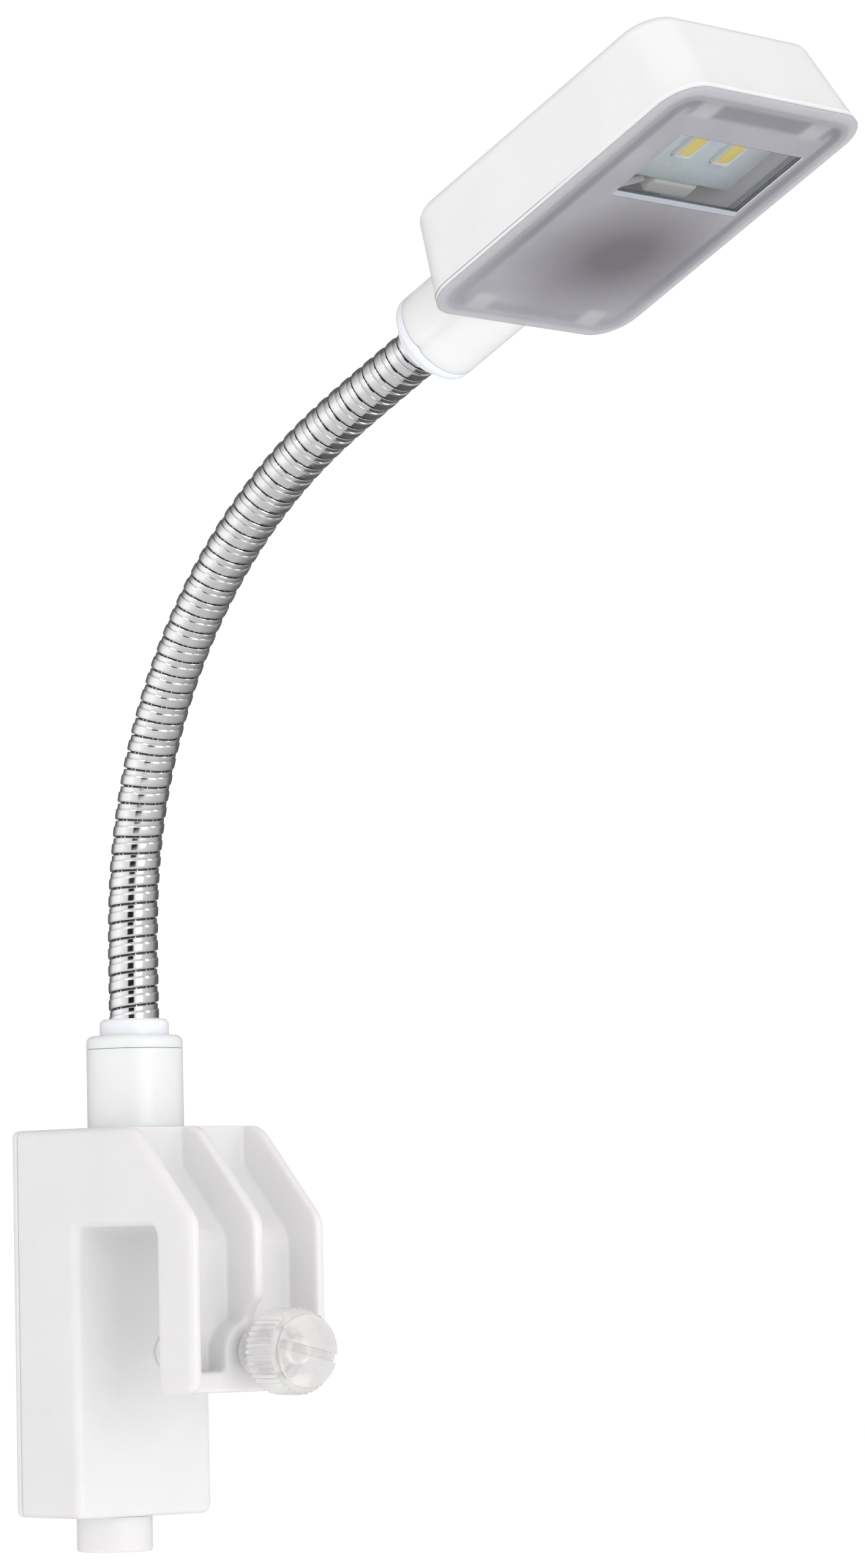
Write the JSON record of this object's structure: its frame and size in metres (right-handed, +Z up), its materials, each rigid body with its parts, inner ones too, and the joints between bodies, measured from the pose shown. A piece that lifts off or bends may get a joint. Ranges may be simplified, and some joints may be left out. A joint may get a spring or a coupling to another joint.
{
  "type": "clamp-on gooseneck reading lamp",
  "caption": "Small clamp-on reading lamp: white ribbed C clamp with a clear thumb screw, chromed gooseneck, and a flat rectangular LED head with a frosted lens.",
  "frame": {"origin": "middle of the clamp gap's ceiling, the face that rests on the edge that the lamp is clamped to", "axes": "+X from the clamp's leg towards its screw arm, +Y across the clamp, +Z up along the stem"},
  "size_m": [0.1241, 0.0431, 0.1824],
  "materials": {
    "bracket_plastic": "fine satin moulded",
    "stem_plastic": "satin",
    "collar_plastic": "semi-gloss, cool white",
    "housing_plastic": "semi-gloss",
    "frosted_plastic": "frosted translucent grey",
    "window_plastic": "clear",
    "clear_plastic": "clear polished",
    "hose_chrome": "bright plated, spiral wound",
    "steel": "bright zinc plated",
    "insert_brass": "turned",
    "board": "pale solder mask",
    "led_phosphor": "yellow phosphor in a white frame",
    "connector_plastic": "moulded",
    "lead_jacket": "insulated wire"
  },
  "bodies": {
    "clamp": {"bracket_body": "bracket_plastic", "rear_cover": "bracket_plastic", "cover_screw_1": "steel", "cover_screw_2": "steel", "cable_outlet": "bracket_plastic", "stem_socket": "stem_plastic", "stem_nut": "steel", "stem_ring": "stem_plastic", "lower_collar": "collar_plastic", "screw_insert": "insert_brass", "gooseneck_00": "hose_chrome", "lead_00": "lead_jacket"},
    "neck_01": {"gooseneck_01": "hose_chrome", "lead_01": "lead_jacket"},
    "neck_02": {"gooseneck_02": "hose_chrome", "lead_02": "lead_jacket"},
    "neck_03": {"gooseneck_03": "hose_chrome", "lead_03": "lead_jacket"},
    "neck_04": {"gooseneck_04": "hose_chrome", "lead_04": "lead_jacket"},
    "neck_05": {"gooseneck_05": "hose_chrome", "lead_05": "lead_jacket"},
    "neck_06": {"gooseneck_06": "hose_chrome", "lead_06": "lead_jacket"},
    "neck_07": {"gooseneck_07": "hose_chrome", "lead_07": "lead_jacket"},
    "neck_08": {"gooseneck_08": "hose_chrome", "lead_08": "lead_jacket"},
    "neck_09": {"gooseneck_09": "hose_chrome", "lead_09": "lead_jacket"},
    "neck_10": {"gooseneck_10": "hose_chrome", "lead_10": "lead_jacket"},
    "neck_11": {"gooseneck_11": "hose_chrome", "lead_11": "lead_jacket"},
    "head": {"gooseneck_12": "hose_chrome", "lead_12": "lead_jacket", "upper_collar": "collar_plastic", "head_ring": "collar_plastic", "head_housing": "housing_plastic", "lens_cover": "frosted_plastic", "clear_window": "window_plastic", "led_board": "board", "led_1": "led_phosphor", "led_2": "led_phosphor", "led_3": "led_phosphor", "board_screw_1": "steel", "board_screw_2": "steel", "lead_connector": "connector_plastic"},
    "pad": {"pressure_pad": "clear_plastic"},
    "screw": {"thumb_knob": "clear_plastic", "screw_shank": "clear_plastic"}
  },
  "joints": [
    {"name": "lower_bend_1", "type": "hinge", "parent": "clamp", "child": "neck_01", "pos_m": [-0.0094, 0, 0.0328], "axis": [-0.1374, 0.9905, 0], "range_deg": [-10.5, 11]},
    {"name": "lower_sway_1", "type": "hinge", "parent": "neck_01", "child": "neck_02", "pos_m": [-0.00923, 0.00002, 0.04113], "axis": [0.9892, 0.1373, -0.052], "range_deg": [-10, 10]},
    {"name": "lower_bend_2", "type": "hinge", "parent": "neck_02", "child": "neck_03", "pos_m": [-0.00836, 0.00014, 0.04941], "axis": [-0.1374, 0.9905, 0], "range_deg": [-10.5, 11]},
    {"name": "lower_sway_2", "type": "hinge", "parent": "neck_03", "child": "neck_04", "pos_m": [-0.00655, 0.0004, 0.05753], "axis": [0.9519, 0.1321, -0.2764], "range_deg": [-10, 10]},
    {"name": "lower_bend_3", "type": "hinge", "parent": "neck_04", "child": "neck_05", "pos_m": [-0.00381, 0.00077, 0.06538], "axis": [-0.1374, 0.9905, 0], "range_deg": [-10.5, 11]},
    {"name": "lower_sway_3", "type": "hinge", "parent": "neck_05", "child": "neck_06", "pos_m": [-0.00019, 0.00128, 0.07286], "axis": [0.8628, 0.1197, -0.4911], "range_deg": [-10, 10]},
    {"name": "upper_bend_1", "type": "hinge", "parent": "neck_06", "child": "neck_07", "pos_m": [0.00427, 0.0019, 0.07986], "axis": [-0.1374, 0.9905, 0], "range_deg": [-10.5, 11]},
    {"name": "upper_sway_1", "type": "hinge", "parent": "neck_07", "child": "neck_08", "pos_m": [0.00951, 0.00262, 0.08629], "axis": [0.727, 0.1009, -0.6792], "range_deg": [-10, 10]},
    {"name": "upper_bend_2", "type": "hinge", "parent": "neck_08", "child": "neck_09", "pos_m": [0.01546, 0.00345, 0.09206], "axis": [-0.1374, 0.9905, 0], "range_deg": [-10.5, 11]},
    {"name": "upper_sway_2", "type": "hinge", "parent": "neck_09", "child": "neck_10", "pos_m": [0.02203, 0.00436, 0.09709], "axis": [0.5517, 0.0766, -0.8305], "range_deg": [-10, 10]},
    {"name": "upper_bend_3", "type": "hinge", "parent": "neck_10", "child": "neck_11", "pos_m": [0.02911, 0.00534, 0.10136], "axis": [-0.1374, 0.9905, 0], "range_deg": [-10.5, 11]},
    {"name": "upper_sway_3", "type": "hinge", "parent": "neck_11", "child": "head", "pos_m": [0.03644, 0.00636, 0.10519], "axis": [0.4497, 0.0624, -0.891], "range_deg": [-10, 10]},
    {"name": "screw_feed", "type": "slide", "parent": "clamp", "child": "pad", "axis": [1, 0, 0], "range_m": [-0.0009, 0.01]},
    {"name": "screw_turn", "type": "hinge", "parent": "pad", "child": "screw", "pos_m": [0, 0, -0.016], "axis": [1, 0, 0], "range_deg": [-648, 7200]}
  ],
  "couplings": [
    {"joint": "lower_bend_2", "follows": "lower_bend_1", "ratio": 1},
    {"joint": "lower_sway_2", "follows": "lower_sway_1", "ratio": 1},
    {"joint": "lower_bend_3", "follows": "lower_bend_1", "ratio": 1},
    {"joint": "lower_sway_3", "follows": "lower_sway_1", "ratio": 1},
    {"joint": "upper_bend_2", "follows": "upper_bend_1", "ratio": 1},
    {"joint": "upper_sway_2", "follows": "upper_sway_1", "ratio": 1},
    {"joint": "upper_bend_3", "follows": "upper_bend_1", "ratio": 1},
    {"joint": "upper_sway_3", "follows": "upper_sway_1", "ratio": 1},
    {"joint": "screw_turn", "follows": "screw_feed", "rad_per_m": 12566}
  ]
}
